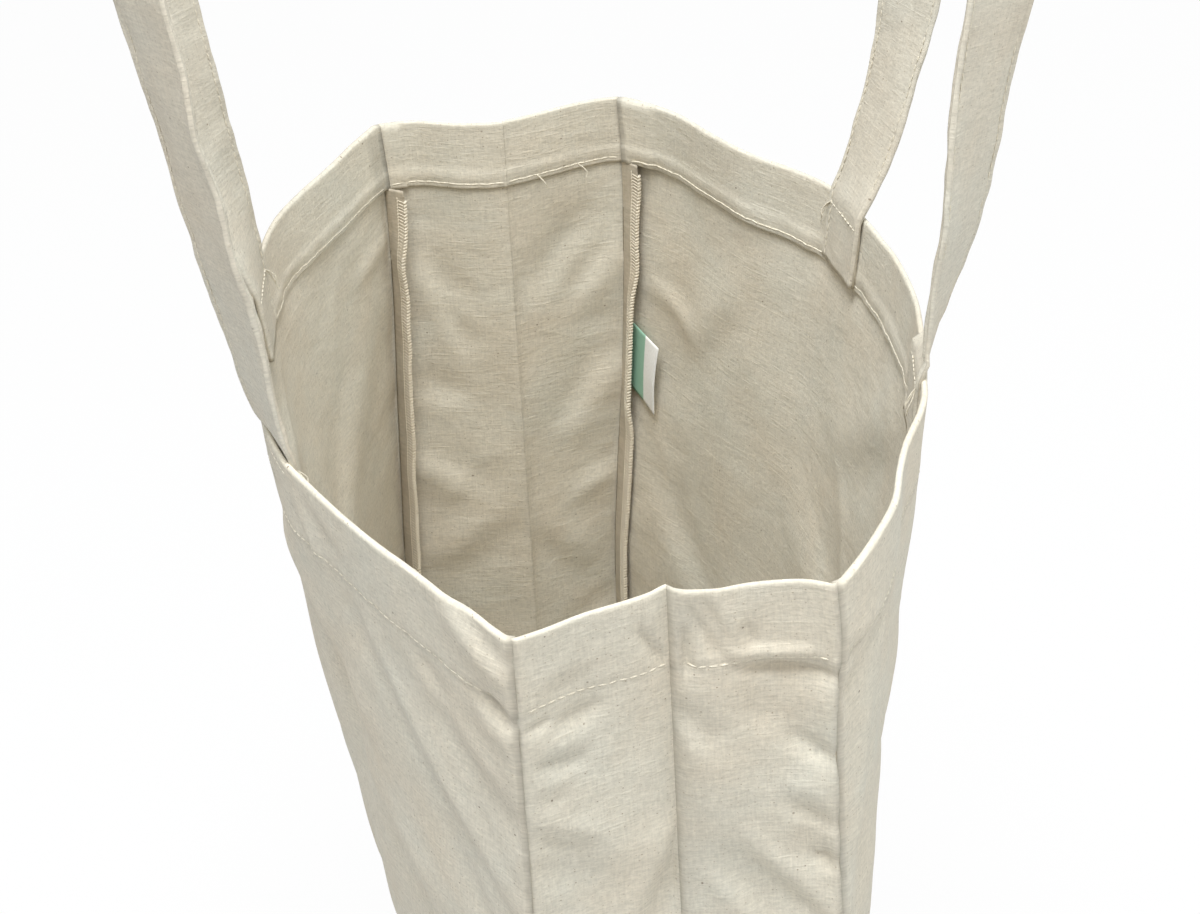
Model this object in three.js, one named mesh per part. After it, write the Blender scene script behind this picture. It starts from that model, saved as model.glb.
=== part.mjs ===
import * as THREE from 'three';

// Cotton tote bag with folding side gussets, standing open with its two handles up.
// Millimetres, +Z up. The origin is the centre of the base, +X runs across the bag's
// width, -Y faces the front panel and +Y the back panel.

// Cut cloth and how it stands
const panelWidth = 380;
const gussetDepth = 100;
const bagHeight = 420;
const creaseInset = 12;
const rimDrawIn = 13.5;
const mouthBow = 62;
const bellyShare = 0.25;
const clothThickness = 0.8;
const hemHeight = 28;
const hemFold = 1.0;

// Handles
const strapWidth = 30;
const strapThickness = 2;
const strapSpacing = 116;
const legLength = 240;
const handleLean = THREE.MathUtils.degToRad(10);
const handleInwardSwing = THREE.MathUtils.degToRad(17);

// Seams, stitching and label
const seamAllowance = 8;
const seamPly = 1.4;
const bottomPly = 1.2;
const threadWidth = 0.6;
const threadHeight = 0.4;
const threadSeat = 0.2;
const hemStitchInset = 1.5;
const tackBelowRim = 4;
const tackMargin = 1.5;
const labelWidth = 22;
const labelHeight = 37;
const labelThickness = 0.3;
const labelBelowRim = 109;
const labelStart = 1;
const labelAngle = THREE.MathUtils.degToRad(11);

// Fold lines: the seams turn about a line inside the cloth, the creases about one outside it
const seamPivotDepth = 2.25;
const creasePivotGap = 0.2;
const foldClosed = THREE.MathUtils.degToRad(66);
const clearance = 0.3;
const cornerLap = 1.0;
const creaseThreadGap = 5;

// Mesh fineness
const panelStations = 24;
const gussetStations = 6;
const heightSteps = 8;
const legSteps = 10;
const archSteps = 14;

const hemBottom = bagHeight - hemHeight;
const hemDepth = clothThickness + hemFold;
const wallBottom = clothThickness + clearance;
const baseHalfDepth = Math.sqrt((gussetDepth / 2) ** 2 - creaseInset ** 2);
const seamPivotY = baseHalfDepth - seamPivotDepth;
const seamLean = rimDrawIn / bagHeight;
const drawAngle = Math.asin(creaseInset / (gussetDepth / 2));
const pivotOffset = seamPivotDepth + creasePivotGap;
const halfGusset = (seamPivotY - pivotOffset * Math.sin(drawAngle)) / Math.cos(drawAngle);
const creaseEdge = halfGusset - clearance / 2;
const creaseRise = halfGusset * (Math.sin(foldClosed + drawAngle) - Math.sin(drawAngle)) * seamLean;
const strapDepth = hemDepth + clearance;
const strapCentre = strapSpacing / 2;

const cotton = { color: '#cfc8b4', roughness: 0.95, metalness: 0 };
const strapCloth = { color: '#c9c2ae', roughness: 0.95, metalness: 0 };
const thread = { color: '#e6dfc9', roughness: 0.8, metalness: 0 };
const labelTape = { color: '#eceae2', roughness: 0.6, metalness: 0 };

const tote = new THREE.Group();

function addPiece(name, geometry, finish) {
  const piece = new THREE.Mesh(geometry, new THREE.MeshStandardMaterial(finish));
  piece.name = name;
  tote.add(piece);
}

// Signed volume of an indexed mesh: positive when its faces point outwards
function signedVolume(positions, faces) {
  const corner = (index) => new THREE.Vector3().fromArray(positions, index * 3);
  let volume = 0;
  for (let f = 0; f < faces.length; f += 3) {
    const [a, b, c] = [corner(faces[f]), corner(faces[f + 1]), corner(faces[f + 2])];
    volume += a.dot(b.cross(c)) / 6;
  }
  return volume;
}

function closedBody(positions, faces) {
  const outward = signedVolume(positions, faces) > 0 ? faces : faces.toReversed();
  const geometry = new THREE.BufferGeometry();
  geometry.setAttribute('position', new THREE.Float32BufferAttribute(positions, 3));
  geometry.setIndex(outward);
  return geometry;
}

// A closed body through rings of points, its two ends filled from the ring drawn flat
function sweptBody(rings, flatRing) {
  const size = flatRing.length;
  const last = (rings.length - 1) * size;
  const positions = rings.flat().flatMap((point) => point.toArray());
  const faces = [];
  for (let start = 0; start < last; start += size) {
    for (let i = 0; i < size; i += 1) {
      const a = start + i;
      const b = start + ((i + 1) % size);
      faces.push(a, b, b + size, a, b + size, a + size);
    }
  }
  const clockwise = THREE.ShapeUtils.isClockWise(flatRing);
  for (const triangle of THREE.ShapeUtils.triangulateShape(flatRing, [])) {
    const [a, b, c] = clockwise ? triangle.toReversed() : triangle;
    faces.push(c, b, a, last + a, last + b, last + c);
  }
  return closedBody(positions, faces);
}

function mirrored(geometry, acrossX, acrossY) {
  const positions = Array.from(geometry.getAttribute('position').array);
  for (let i = 0; i < positions.length; i += 3) {
    positions[i] *= acrossX;
    positions[i + 1] *= acrossY;
  }
  return closedBody(positions, Array.from(geometry.getIndex().array));
}

function spread(from, to, steps) {
  return Array.from({ length: steps + 1 }, (_, i) => THREE.MathUtils.lerp(from, to, i / steps));
}

// Outer face of the back panel: straight at the base, bowed out most at the rim
function seamX(z) {
  return panelWidth / 2 - seamLean * z;
}

function bowAt(z) {
  const rise = z / bagHeight;
  return mouthBow * rise * (1 + bellyShare * (1 - rise));
}

function backFace(x, z) {
  const share = x / seamX(z);
  return new THREE.Vector2(x, baseHalfDepth + bowAt(z) * (1 - share * share));
}

// Outer face of the right gusset's back half, measured from its seam towards the crease
function gussetFace(u, z) {
  const pivot = new THREE.Vector2(seamX(z) - seamPivotDepth, seamPivotY);
  const alongCloth = new THREE.Vector2(-Math.sin(drawAngle), -Math.cos(drawAngle));
  const outward = new THREE.Vector2(Math.cos(drawAngle), -Math.sin(drawAngle));
  return pivot.addScaledVector(alongCloth, u).addScaledVector(outward, seamPivotDepth);
}

// A point at some depth inside an outer face, square to the face in plan
function inside(face, across, z, depth) {
  const step = 0.01;
  const outer = face(across, z);
  const along = face(across + step, z).sub(face(across - step, z)).normalize();
  const inward = new THREE.Vector2(along.y, -along.x);
  if (inward.dot(outer) > 0) {
    inward.negate();
  }
  outer.addScaledVector(inward, depth);
  return new THREE.Vector3(outer.x, outer.y, z);
}

// Cloth that follows a face: profileAt(across) gives its section as points (depth, height)
function clothBand(face, stations, profileAt) {
  const rings = stations.map((station) =>
    profileAt(station).map(({ x: depth, y: z }) => inside(face, station, z, depth)));
  return sweptBody(rings, profileAt(stations[0]));
}

function rectangle(nearDepth, farDepth, low, high) {
  return [
    new THREE.Vector2(nearDepth, low),
    new THREE.Vector2(nearDepth, high),
    new THREE.Vector2(farDepth, high),
    new THREE.Vector2(farDepth, low),
  ];
}

// Single cloth up to the hem, double above it
function hemmedProfile(low) {
  const rising = spread(low, hemBottom, heightSteps);
  return [
    ...rising.map((z) => new THREE.Vector2(0, z)),
    new THREE.Vector2(0, bagHeight),
    new THREE.Vector2(hemDepth, bagHeight),
    new THREE.Vector2(hemDepth, hemBottom),
    ...rising.toReversed().map((z) => new THREE.Vector2(clothThickness, z)),
  ];
}

// Back panel across its width: stations are shares of the half width at each height
const panelShares = spread(-1, 1, panelStations);
const panelFace = (share, z) => backFace(share * (seamX(z) - seamPivotDepth + cornerLap), z);
const backPanel = clothBand(panelFace, panelShares, () => hemmedProfile(wallBottom));

// Gusset half from seam to crease: its lower edge rises so that it folds clear of the base
const gussetSteps = spread(0, creaseEdge, gussetStations);
const gussetLow = (u) => wallBottom + clearance + creaseRise * (u / halfGusset);
const gussetHalf = clothBand(gussetFace, gussetSteps, (u) => hemmedProfile(gussetLow(u)));

// Base between the wall seams, with a shallow notch at each gusset crease
function basePanel() {
  const half = panelWidth / 2;
  const outline = new THREE.Shape();
  outline.moveTo(-half, -baseHalfDepth);
  outline.lineTo(half, -baseHalfDepth);
  outline.lineTo(half - creaseInset, 0);
  outline.lineTo(half, baseHalfDepth);
  outline.lineTo(-half, baseHalfDepth);
  outline.lineTo(-half + creaseInset, 0);
  outline.closePath();
  return new THREE.ExtrudeGeometry(outline, { depth: clothThickness, bevelEnabled: false });
}

// Hem stitching on the outer face, a little above the hem's lower edge
const stitchLow = hemBottom + hemStitchInset;
const stitchProfile = rectangle(-threadSeat - threadHeight, -threadSeat, stitchLow, stitchLow + threadWidth);
const panelHemThread = clothBand(panelFace, panelShares, () => stitchProfile);
const gussetThreadSteps = spread(cornerLap, halfGusset - creaseThreadGap, gussetStations);
const gussetHemThread = clothBand(gussetFace, gussetThreadSteps, () => stitchProfile);

// Overlocked corner seam, standing inside on the gusset cloth from the base to the hem
const seamDepth = clothThickness + clearance;
const cornerSeamLow = gussetLow(seamAllowance);
const cornerSeamProfile = rectangle(seamDepth, seamDepth + seamPly, cornerSeamLow, hemBottom - clearance);
const cornerSeam = clothBand(gussetFace, spread(-0.4 * seamPivotDepth, seamAllowance, 3), () => cornerSeamProfile);

// Overlocked bottom seam, turned up on the panel between the corner seams
const bottomSeamEnd = 1 - (1.5 * seamAllowance) / (panelWidth / 2);
const bottomSeamLow = wallBottom + clearance;
const bottomSeamProfile = rectangle(seamDepth, seamDepth + bottomPly, bottomSeamLow, bottomSeamLow + seamAllowance);
const bottomSeamShares = panelShares.map((share) => share * bottomSeamEnd);
const bottomSeam = clothBand(panelFace, bottomSeamShares, () => bottomSeamProfile);

// Sewn end of a handle on the inner face of the hem, and its row of tacking at the rim
const strapStations = spread(strapCentre - strapWidth / 2, strapCentre + strapWidth / 2, 4);
const strapProfile = rectangle(strapDepth, strapDepth + strapThickness, stitchLow, bagHeight);
const strapEnd = clothBand(backFace, strapStations, () => strapProfile);
const tackStations = spread(
  strapCentre - strapWidth / 2 + tackMargin,
  strapCentre + strapWidth / 2 - tackMargin,
  4,
);
const tackDepth = strapDepth + strapThickness + threadSeat;
const tackHigh = bagHeight - tackBelowRim;
const tackProfile = rectangle(tackDepth, tackDepth + threadHeight, tackHigh - threadWidth, tackHigh);
const strapTack = clothBand(backFace, tackStations, () => tackProfile);

// Free part of a handle: two legs that twist a quarter turn towards a round arch.
// Its lower ends are cut to a bevel that clears the sewn ends when it swings inwards.
function handleLoop() {
  const foot = inside(backFace, strapCentre, bagHeight, strapDepth + strapThickness / 2);
  const up = new THREE.Vector3(0, Math.sin(handleLean), Math.cos(handleLean));
  const inward = new THREE.Vector3(0, -Math.cos(handleLean), Math.sin(handleLean));
  const sideways = new THREE.Vector3(1, 0, 0);
  const archRadius = foot.x;
  const archLength = Math.PI * archRadius;
  const hingeY = backFace(strapCentre - strapWidth / 2, bagHeight).y;
  const rimSlope = backFace(strapCentre + 1, bagHeight).sub(backFace(strapCentre - 1, bagHeight));
  const startTwist = -rimSlope.angle() + 2 * Math.PI;
  const path = (s) => {
    const x = s < legLength ? archRadius : archRadius * Math.cos((s - legLength) / archRadius);
    const rise = s < legLength ? s : legLength + archRadius * Math.sin((s - legLength) / archRadius);
    return { x, rise };
  };
  const halfSteps = [
    ...spread(0, legLength, legSteps),
    ...spread(legLength, legLength + archLength / 2, archSteps / 2).slice(1),
  ];
  const halfRings = halfSteps.map((s) => {
    const { x, rise } = path(s);
    const turn = Math.max(0, s - legLength) / archRadius;
    const centre = sideways.clone().multiplyScalar(x).addScaledVector(up, rise);
    centre.y += foot.y;
    centre.z += bagHeight;
    const easedTwist = THREE.MathUtils.smoothstep(s, 0, legLength * 1.15);
    const twist = THREE.MathUtils.lerp(startTwist, Math.PI / 2, easedTwist);
    const along = up.clone().multiplyScalar(Math.cos(turn)).addScaledVector(sideways, -Math.sin(turn));
    const width = sideways.clone().multiplyScalar(Math.cos(twist)).addScaledVector(inward, Math.sin(twist));
    width.addScaledVector(along, -width.dot(along)).normalize();
    const through = new THREE.Vector3().crossVectors(along, width);
    return [[-1, -1], [1, -1], [1, 1], [-1, 1]].map(([w, t]) => centre.clone()
      .addScaledVector(width, (w * strapWidth) / 2)
      .addScaledVector(through, (t * strapThickness) / 2));
  });
  for (const point of halfRings[0]) {
    const inwardOfHinge = Math.max(0, hingeY - point.y);
    point.z = bagHeight + clearance + inwardOfHinge * Math.tan(handleInwardSwing);
  }
  const otherHalf = halfRings.slice(0, -1).reverse().map((ring) =>
    ring.map((point) => new THREE.Vector3(-point.x, point.y, point.z)));
  const flat = [[-1, -1], [1, -1], [1, 1], [-1, 1]].map(([w, t]) => new THREE.Vector2(w, t));
  return sweptBody([...halfRings, ...otherHalf], flat);
}

// Care label caught in the back left corner seam, standing a little off the back panel
function careLabel() {
  const reach = new THREE.Vector2(Math.cos(labelAngle), Math.sin(labelAngle));
  const towardsPanel = new THREE.Vector2(-reach.y, reach.x);
  const middle = (seamPivotDepth - clothThickness) / 2;
  const top = bagHeight - labelBelowRim;
  const rings = [top - labelHeight, top].map((z) => {
    const pivot = new THREE.Vector2(seamPivotDepth - seamX(z), seamPivotY);
    return [[0, -1], [1, -1], [1, 1], [0, 1]].map(([far, face]) => {
      const offset = middle * 0.8 + (face * labelThickness) / 2;
      const point = pivot.clone()
        .addScaledVector(reach, labelStart + far * labelWidth)
        .addScaledVector(towardsPanel, offset);
      return new THREE.Vector3(point.x, point.y, z);
    });
  });
  const flat = [[0, -1], [1, -1], [1, 1], [0, 1]].map(([far, face]) => new THREE.Vector2(far, face));
  return sweptBody(rings, flat);
}

const loop = handleLoop();
addPiece('bottom_panel', basePanel(), cotton);
for (const [wall, y] of [['front', -1], ['back', 1]]) {
  addPiece(`${wall}_panel`, mirrored(backPanel, 1, y), cotton);
  addPiece(`${wall}_hem_thread`, mirrored(panelHemThread, 1, y), thread);
  addPiece(`${wall}_bottom_seam`, mirrored(bottomSeam, 1, y), thread);
  addPiece(`${wall}_handle_strap`, mirrored(loop, 1, y), strapCloth);
  for (const [side, x] of [['left', -1], ['right', 1]]) {
    addPiece(`${wall}_handle_${side}_end`, mirrored(strapEnd, x, y), strapCloth);
    addPiece(`${wall}_handle_${side}_tack`, mirrored(strapTack, x, y), thread);
    addPiece(`${side}_gusset_${wall}_half`, mirrored(gussetHalf, x, y), cotton);
    addPiece(`${side}_gusset_${wall}_hem_thread`, mirrored(gussetHemThread, x, y), thread);
    addPiece(`${wall}_${side}_corner_seam`, mirrored(cornerSeam, x, y), thread);
  }
}
addPiece('care_label', careLabel(), labelTape);

export default tote;
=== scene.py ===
import math

import bmesh
import bpy
from mathutils import Matrix, Vector, noise


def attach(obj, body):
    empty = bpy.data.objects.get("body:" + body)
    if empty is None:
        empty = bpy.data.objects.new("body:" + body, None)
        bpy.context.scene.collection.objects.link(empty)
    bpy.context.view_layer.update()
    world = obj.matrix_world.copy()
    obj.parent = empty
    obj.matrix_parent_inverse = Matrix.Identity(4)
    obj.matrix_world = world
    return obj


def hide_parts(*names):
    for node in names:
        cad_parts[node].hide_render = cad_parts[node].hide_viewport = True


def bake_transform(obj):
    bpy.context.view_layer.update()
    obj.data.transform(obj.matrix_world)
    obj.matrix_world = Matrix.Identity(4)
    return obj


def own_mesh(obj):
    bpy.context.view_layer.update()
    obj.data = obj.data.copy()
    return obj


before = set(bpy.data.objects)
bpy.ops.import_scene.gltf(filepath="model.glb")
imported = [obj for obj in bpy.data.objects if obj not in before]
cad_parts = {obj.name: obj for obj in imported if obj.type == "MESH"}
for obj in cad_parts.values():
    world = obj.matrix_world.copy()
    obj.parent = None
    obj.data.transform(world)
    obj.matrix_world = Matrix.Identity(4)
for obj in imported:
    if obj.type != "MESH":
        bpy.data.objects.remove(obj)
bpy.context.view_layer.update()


# Bottom panel: one rectangle of natural, unbleached cotton, notched a little at each end
# where the gusset creases fold in. It is sewn all round into the lower edges of the walls
# and lies flat on the ground, still a little rumpled from being turned right side out.
bag_height = 0.420
base_half_length = 0.190
base_half_depth = 0.048539
crease_inset = 0.012
base_margin = 0.0012
cloth_thickness = 0.0008


def smoothstep(low, high, value):
    share = min(1.0, max(0.0, (value - low) / (high - low)))
    return share * share * (3.0 - 2.0 * share)


def soft_noise(along, up, seed):
    """Smooth noise about -1 to 1, the same on every run."""
    return noise.noise(Vector((along + 17.3 * seed, up - 9.1 * seed, 3.7 * seed + 0.5)))


def cloth_piece(name, bm, thickness, material):
    """A sheet from its middle surface: given its thickness, shaded smooth, with its material."""
    mesh = bpy.data.meshes.new(name)
    for face in bm.faces:
        face.smooth = True
    bm.to_mesh(mesh)
    bm.free()
    piece = bpy.data.objects.new(name, mesh)
    bpy.context.scene.collection.objects.link(piece)
    if thickness:
        wall = piece.modifiers.new("thickness", "SOLIDIFY")
        wall.thickness = thickness
        wall.offset = 0.0
    mesh.materials.append(material)
    return piece


def cloth_grid(columns, rows):
    """A grid from -1 to 1 both ways, with the cloth's UV map still to lay out."""
    bm = bmesh.new()
    bm.loops.layers.uv.new("cloth")
    bmesh.ops.create_grid(bm, x_segments=columns, y_segments=rows, size=1.0)
    bm.verts.index_update()
    return bm


def share_of(at):
    """A grid coordinate, -1 to 1, as a share of the way, 0 to 1."""
    return (at + 1.0) / 2.0


def lay_out(bm, flat_place):
    """Lays out the UV map: flat_place(vertex) is its place on the flat cloth, in metres."""
    cloth_uv = bm.loops.layers.uv["cloth"]
    for face in bm.faces:
        for loop in face.loops:
            loop[cloth_uv].uv = flat_place(loop.vert)


def set_inputs(node, inputs):
    """Sets a shader node's inputs by name or number: a value, or an output to link from."""
    for key, value in inputs.items():
        socket = node.inputs[key]
        if isinstance(value, bpy.types.NodeSocket):
            node.id_data.links.new(value, socket)
        elif isinstance(value, tuple) and len(value) < len(socket.default_value):
            socket.default_value = (*value, 1.0)
        else:
            socket.default_value = value
    return node


def math_node(nodes, operation, first, second):
    """The output of a sum of two values or outputs."""
    node = nodes.new("ShaderNodeMath")
    node.operation = operation
    return set_inputs(node, {0: first, 1: second}).outputs[0]


def noise_texture(nodes, place, scale, detail, rough=0.5, distortion=0.0, turn=(0.0, 0.0, 0.0)):
    """Noise over the places of an output, scaled its own way along each axis."""
    mapping = nodes.new("ShaderNodeMapping")
    set_inputs(mapping, {"Vector": place, "Rotation": turn, "Scale": scale})
    texture = nodes.new("ShaderNodeTexNoise")
    set_inputs(texture, {"Vector": mapping.outputs["Vector"], "Scale": 1.0, "Detail": detail})
    set_inputs(texture, {"Roughness": rough, "Distortion": distortion})
    return texture.outputs["Fac"]


def bump_node(nodes, strength, distance, height):
    """Surface relief of a strength and depth, following the height output."""
    bump = nodes.new("ShaderNodeBump")
    return set_inputs(bump, {"Strength": strength, "Distance": distance, "Height": height})


def cotton_cloth(name, colour, warm, cool, fleck_amount=1.0):
    """Natural cotton: two sets of uneven threads, slubs, seed flecks and a cloudy tone.
    The UV map holds metres along the cloth, so that threads keep their size and run with it,
    and a float attribute of the mesh darkens the colour with painted shade along seams and creases and below
    the hem stitching."""
    material = bpy.data.materials.new(name)
    material.use_nodes = True
    nodes = material.node_tree.nodes
    nodes.clear()
    shader = nodes.new("ShaderNodeBsdfPrincipled")
    set_inputs(shader, {"Roughness": 0.93, "Specular IOR Level": 0.18})
    set_inputs(shader, {"Sheen Weight": 0.05, "Sheen Roughness": 0.6})
    set_inputs(nodes.new("ShaderNodeOutputMaterial"), {"Surface": shader.outputs["BSDF"]})
    uv_map = nodes.new("ShaderNodeUVMap")
    uv_map.uv_map = "cloth"
    place = uv_map.outputs["UV"]

    def combine(operation, first, second):
        return math_node(nodes, operation, first, second)

    def mix_colours(kind, share, first, second):
        node = nodes.new("ShaderNodeMix")
        node.data_type = "RGBA"
        node.blend_type = kind
        return set_inputs(node, {0: share, 6: first, 7: second}).outputs[2]

    def remap(value, low, high, to_low, to_high):
        node = nodes.new("ShaderNodeMapRange")
        set_inputs(node, {"Value": value, "From Min": low, "From Max": high})
        return set_inputs(node, {"To Min": to_low, "To Max": to_high}).outputs["Result"]

    warp = noise_texture(nodes, place, (1400.0, 160.0, 1.0), 2.0, 0.5)
    weft = noise_texture(nodes, place, (130.0, 1400.0, 1.0), 2.0, 0.5)
    grain = noise_texture(nodes, place, (520.0, 1050.0, 1.0), 4.0, 0.75)
    streak = noise_texture(nodes, place, (110.0, 620.0, 1.0), 3.0, 0.6)
    slub_weft = noise_texture(nodes, place, (55.0, 900.0, 1.0), 1.0, 0.4)
    slub_warp = noise_texture(nodes, place, (900.0, 45.0, 1.0), 1.0, 0.4)
    cloud = noise_texture(nodes, place, (22.0, 19.0, 1.0), 4.0, 0.6, 0.4)
    patch = noise_texture(nodes, place, (130.0, 180.0, 1.0), 3.0, 0.6)

    # Tone: cloudy patches from cooler to warmer, mottled by uneven yarn, with a few light slubs
    tone = mix_colours("MIX", remap(cloud, 0.34, 0.68, 0.0, 1.0), cool, warm)
    tone = mix_colours("MIX", remap(patch, 0.4, 0.75, 0.0, 0.4), tone, colour)
    threads = combine("ADD", combine("MULTIPLY", weft, 0.5), combine("MULTIPLY", warp, 0.5))
    threads = combine("ADD", combine("MULTIPLY", threads, 0.45), combine("MULTIPLY", grain, 0.55))
    shade = remap(threads, 0.36, 0.64, 0.82, 1.13)
    shade = combine("ADD", shade, remap(streak, 0.3, 0.7, -0.035, 0.035))
    slubs_along = remap(slub_weft, 0.62, 0.72, 0.0, 0.045)
    slubs_up = remap(slub_warp, 0.64, 0.74, 0.0, 0.03)
    slubs = combine("MAXIMUM", slubs_along, slubs_up)
    shade = combine("ADD", shade, slubs)
    # Painted shade: the attribute below darkens the colour along seams and creases and below the hem
    # stitching
    painted_shade = nodes.new("ShaderNodeAttribute")
    painted_shade.attribute_name = "painted_shade"
    painted_shade_factor = combine("SUBTRACT", 1.0, combine("MULTIPLY", painted_shade.outputs["Fac"], 0.36))
    tone = mix_colours("MULTIPLY", 1.0, tone, combine("MULTIPLY", shade, painted_shade_factor))

    # Seed flecks: small brown specks caught in the yarn, most of them faint, a few dark
    for scale, seed, size, share, fleck, depth in (
        ((360.0, 430.0, 1.0), 0.0, 0.115, 0.42, (0.34, 0.26, 0.17), 0.60),
        ((190.0, 230.0, 1.0), 4.3, 0.072, 0.55, (0.26, 0.19, 0.12), 0.70),
        ((66.0, 82.0, 1.0), 8.9, 0.036, 0.60, (0.15, 0.10, 0.06), 0.75),
    ):
        mapping = nodes.new("ShaderNodeMapping")
        set_inputs(mapping, {"Vector": place, "Location": (seed, seed * 0.7, 0.0), "Scale": scale})
        cells = nodes.new("ShaderNodeTexVoronoi")
        cells.voronoi_dimensions = "2D"
        set_inputs(cells, {"Vector": mapping.outputs["Vector"], "Scale": 1.0})
        split = set_inputs(nodes.new("ShaderNodeSeparateColor"), {"Color": cells.outputs["Color"]})
        chosen = remap(split.outputs["Red"], share, share + 0.25, 0.0, depth * fleck_amount)
        reach = remap(split.outputs["Green"], 0.0, 1.0, size * 0.4, size)
        inside = combine("SUBTRACT", 1.0, combine("DIVIDE", cells.outputs["Distance"], reach))
        spot = combine("MULTIPLY", remap(inside, 0.0, 0.45, 0.0, 1.0), chosen)
        tone = mix_colours("MIX", spot, tone, fleck)

    rumples = noise_texture(nodes, place, (60.0, 110.0, 1.0), 4.0, 0.6, 0.4)
    bump = bump_node(nodes, 0.45, 0.0006, combine("ADD", threads, combine("MULTIPLY", slubs, 4.0)))
    rumple = bump_node(nodes, 0.45, 0.0012, rumples)
    set_inputs(rumple, {"Normal": bump.outputs["Normal"]})
    set_inputs(shader, {"Base Color": tone, "Normal": rumple.outputs["Normal"]})
    return material


bag_cotton = cotton_cloth(
    "natural_cotton",
    colour=(0.665, 0.61, 0.50),
    warm=(0.67, 0.60, 0.48),
    cool=(0.655, 0.62, 0.52),
)

bm = cloth_grid(150, 40)
for vertex in bm.verts:
    across, deep = vertex.co.x, vertex.co.y
    x = across * (base_half_length - base_margin - crease_inset * (1.0 - abs(deep)))
    y = deep * (base_half_depth - base_margin)
    inner = smoothstep(0.33, 0.6, 1.0 - abs(across)) * smoothstep(0.0, 0.3, 1.0 - abs(deep))
    rumple = 0.5 + 0.5 * soft_noise(x / 0.045, y / 0.03, 2.0)
    vertex.co = (x, y, 0.0005 + 0.0016 * inner * rumple)
lay_out(bm, lambda vertex: (vertex.co.x, vertex.co.y))
bottom = cloth_piece("bottom_cloth", bm, cloth_thickness, bag_cotton)
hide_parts("bottom_panel")
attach(bottom, "back_side")
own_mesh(bottom)


# Front and back panels: each one piece of the same cotton, 380 mm wide, from the base up to
# the rim, over it and 28 mm down inside as a turned hem. The open mouth bows them outwards.
# The sides are sewn to the gussets, and the lower edge to the bottom panel.
hem_low = 0.392
outer_layer = 0.0004
hem_layer = 0.0015
between_layers = 0.0009
stitch_height = 0.3938
rim_draw_in = 0.0135
walls = (("front", -1), ("back", 1))
ends = (("left", -1), ("right", 1))


def seam_x(z):
    """Half the bag's width between its corner seams at a height."""
    return base_half_length - rim_draw_in * z / bag_height


def cloth_run():
    """(height, depth from the outer face, length along the cloth) from the lower edge up the
    outside, over the rolled rim and down inside to the edge of the hem."""
    run = [(0.0008, 0.0019), (0.0009, 0.0013), (0.0013, 0.0008), (0.0022, 0.0005), (0.0040, outer_layer)]
    run += [(0.0040 + 0.382 * i / 148, outer_layer) for i in range(1, 149)]
    run += [(0.386 + 0.0142 * i / 13, outer_layer) for i in range(1, 14)]
    run += [(0.4002 + 0.0178 * i / 8, outer_layer) for i in range(1, 9)]
    roll = (hem_layer - outer_layer) / 2
    top = bag_height - outer_layer - roll
    for step in range(7):
        turn = math.pi * step / 6
        run.append((top + roll * math.sin(turn), outer_layer + roll * (1.0 - math.cos(turn))))
    run += [(0.4180 - 0.0178 * i / 8, hem_layer) for i in range(9)]
    for step in range(1, 8):
        z = 0.4002 - 0.0078 * step / 7
        run.append((z, hem_layer + 0.00035 * smoothstep(0.4005, 0.3980, z)))
    run += [(hem_low - 0.0001, 0.0016), (hem_low + 0.0001, 0.0012)]
    lengths = [0.0]
    for (z0, d0), (z1, d1) in zip(run, run[1:]):
        lengths.append(lengths[-1] + math.hypot(z1 - z0, d1 - d0))
    return [(z, depth, length) for (z, depth), length in zip(run, lengths)]


def stitch_pinch(along, z, depth, seed):
    """The stitch row draws the hem's layers together and puckers the cloth beside it."""
    gap = abs(z - stitch_height)
    draw = 0.00034 * math.exp(-((gap / 0.0012) ** 2))
    draw *= 1.0 if depth < between_layers else -1.0
    pucker = 0.00055 * soft_noise(along / 0.0060, z / 0.02, seed + 5.0) * math.exp(-gap / 0.005)
    tuck = 0.0010 * soft_noise(along / 0.021, z / 0.03, seed + 6.0) * math.exp(-gap / 0.010)
    return draw + pucker + tuck


def rolled_edge(share):
    """How far the cloth's edge rolls inwards at a seam, at a share of the roll's width."""
    return 0.0015 * (1.0 - math.sqrt(max(0.0, 1.0 - (1.0 - min(1.0, share)) ** 2)))


def stitch_shade(z):
    """The shade just below the stitch row outside."""
    return 0.35 * math.exp(-(((z - stitch_height + 0.0012) / 0.0010) ** 2))


def below_rim(z):
    """0 in the rolled rim and 1 just below it."""
    return smoothstep(0.4195, 0.4185, z)


def pressed_folds(folds, along, z):
    """The longer folds of one wall, as (from along, height, to along, height, width, dent, step)
    in mm: along each line a valley of that dent, and the cloth tips over it by that step."""
    stand = 0.0
    across, up = along * 1000.0, z * 1000.0
    for x0, z0, x1, z1, width, dent, step in folds:
        length = math.hypot(x1 - x0, z1 - z0)
        along_fold = ((across - x0) * (x1 - x0) + (up - z0) * (z1 - z0)) / length
        beside = ((across - x0) * (z1 - z0) - (up - z0) * (x1 - x0)) / (length * width)
        past = max(0.0, -along_fold, along_fold - length) / width
        if past > 2.2 or abs(beside) > 4.5:
            continue
        taper = math.exp(-past * past)
        taper *= 0.35 + 0.65 * math.sin(math.pi * min(1.0, max(0.0, along_fold / length))) ** 0.5
        stand += taper * dent * math.exp(-beside * beside)
        stand += taper * step * beside * math.exp(-0.5 * beside * beside)
    return 1.5 * stand / 1000.0


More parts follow.
